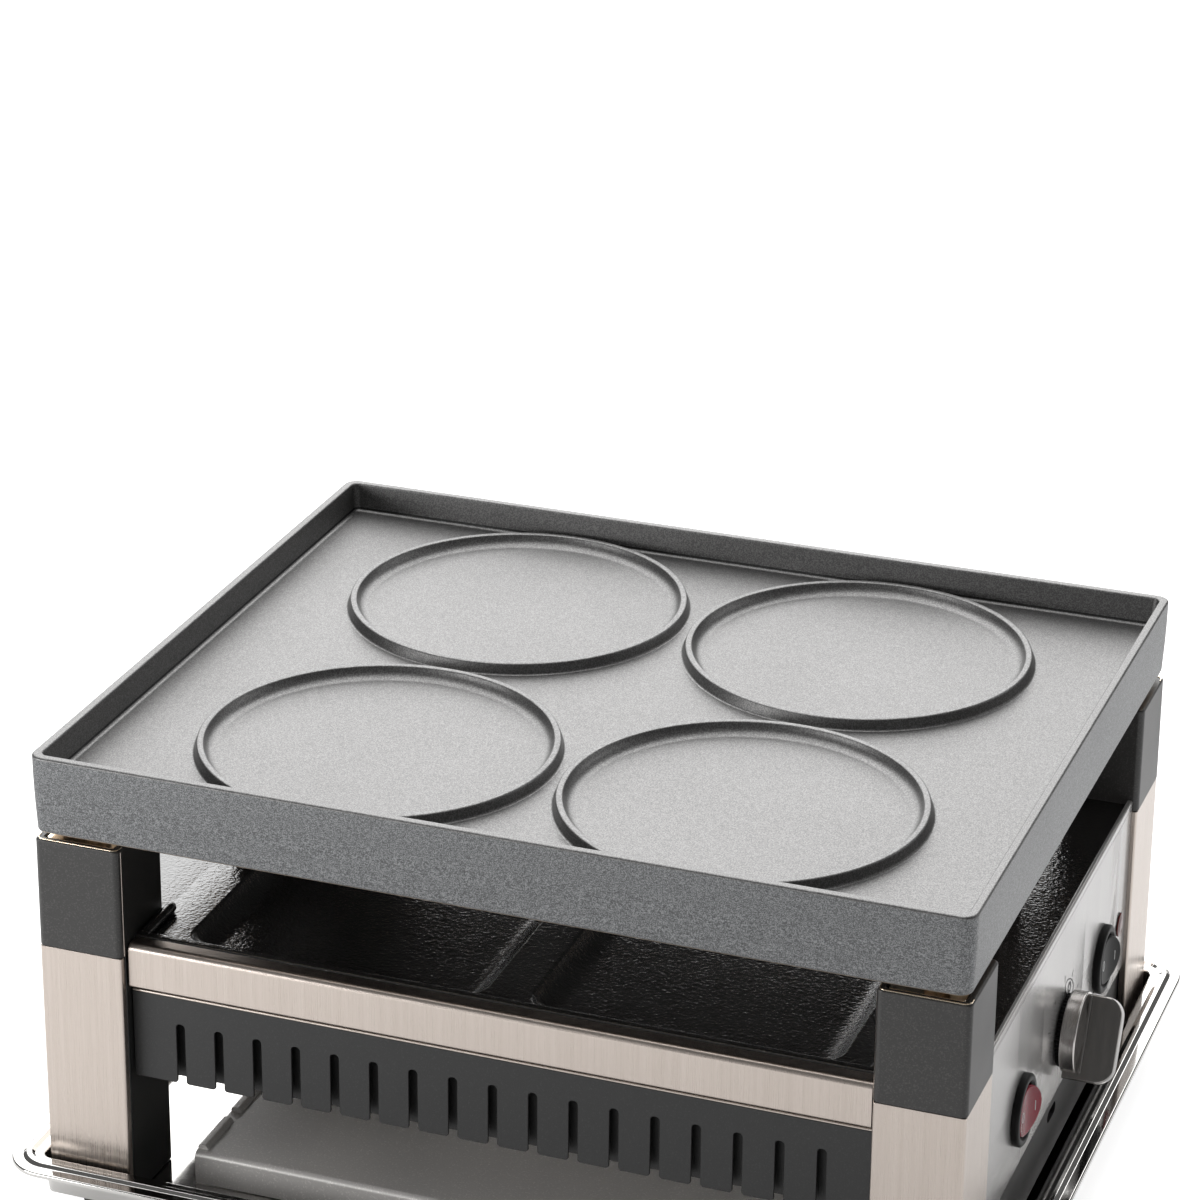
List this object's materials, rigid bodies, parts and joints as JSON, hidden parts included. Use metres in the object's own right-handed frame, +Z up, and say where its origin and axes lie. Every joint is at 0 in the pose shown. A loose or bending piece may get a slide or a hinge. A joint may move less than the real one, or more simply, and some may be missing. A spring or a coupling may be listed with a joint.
{
  "type": "electric table grill",
  "caption": "Electric table grill: a griddle plate with ring ridges on corner posts over a pan tray and a lower bay, with knob and rocker switches on one side.",
  "frame": {"origin": "middle of the bounding box, at the table plane under the feet", "axes": "+Z up, +X towards the control panel on the right side, -Y towards the front, where the pans go in"},
  "size_m": [0.3728, 0.3068, 0.185],
  "materials": {
    "cast_coating": "matt black non-stick coating on cast aluminium",
    "brushed_stainless": "brushed stainless sheet",
    "polished_steel": "polished",
    "satin_nickel": "satin nickel look",
    "black_enamel": "glossy enamel",
    "black_lacquer": "satin black lacquer",
    "post_core_black": "satin black",
    "black_plastic": "fine-grained black moulding",
    "grey_sheet": "satin grey",
    "element_sheath": "dark heat-tinted steel",
    "red_lens": "clear red",
    "ceramic": "off-white",
    "rubber": "matt"
  },
  "bodies": {
    "grill_base": {"front_left_post_cover": "brushed_stainless", "front_right_post_cover": "brushed_stainless", "rear_left_post_cover": "brushed_stainless", "rear_right_post_cover": "brushed_stainless", "front_crossbar": "brushed_stainless", "rear_crossbar": "brushed_stainless", "control_panel": "brushed_stainless", "left_panel": "brushed_stainless", "reflector": "brushed_stainless", "front_left_post_screw": "polished_steel", "front_right_post_screw": "polished_steel", "rear_left_post_screw": "polished_steel", "rear_right_post_screw": "polished_steel", "base_tray": "polished_steel", "front_left_plate_seat": "polished_steel", "front_right_plate_seat": "polished_steel", "rear_left_plate_seat": "polished_steel", "rear_right_plate_seat": "polished_steel", "pan_tray": "black_enamel", "front_comb": "black_lacquer", "rear_comb": "black_lacquer", "front_strip": "black_lacquer", "rear_strip": "black_lacquer", "control_housing": "black_lacquer", "front_left_post_core": "post_core_black", "front_right_post_core": "post_core_black", "rear_left_post_core": "post_core_black", "rear_right_post_core": "post_core_black", "front_left_cap": "black_plastic", "front_right_cap": "black_plastic", "rear_left_cap": "black_plastic", "rear_right_cap": "black_plastic", "main_switch": "black_plastic", "heat_switch": "black_plastic", "lamp_body": "black_plastic", "cord_inlet": "black_plastic", "deck_plate": "grey_sheet", "upper_heater": "element_sheath", "lower_heater": "element_sheath", "heater_support": "element_sheath", "lower_heater_clip": "element_sheath", "lamp_lens": "red_lens", "thermostat": "ceramic", "terminal_block": "ceramic", "front_left_foot": "rubber", "front_right_foot": "rubber", "rear_left_foot": "rubber", "rear_right_foot": "rubber"},
    "griddle": {"griddle_plate": "cast_coating"},
    "control_knob": {"knob": "satin_nickel", "knob_shaft": "polished_steel"},
    "main_rocker_body": {"main_rocker": "black_plastic"},
    "heat_rocker_body": {"heat_rocker": "red_lens"}
  },
  "joints": [
    {"name": "griddle_lift", "type": "slide", "parent": "grill_base", "child": "griddle", "axis": [0, 0, 1], "range_m": [0, 0.06]},
    {"name": "knob_turn", "type": "hinge", "parent": "grill_base", "child": "control_knob", "pos_m": [0.1652, 0.006, 0.068], "axis": [1, 0, 0], "range_deg": [-270, 0]},
    {"name": "main_rocker_tip", "type": "hinge", "parent": "grill_base", "child": "main_rocker_body", "pos_m": [0.1652, 0.0642, 0.068], "axis": [0, 0, 1], "range_deg": [0, 18]},
    {"name": "heat_rocker_tip", "type": "hinge", "parent": "grill_base", "child": "heat_rocker_body", "pos_m": [0.1652, -0.055, 0.068], "axis": [0, 0, 1], "range_deg": [0, 18]}
  ]
}
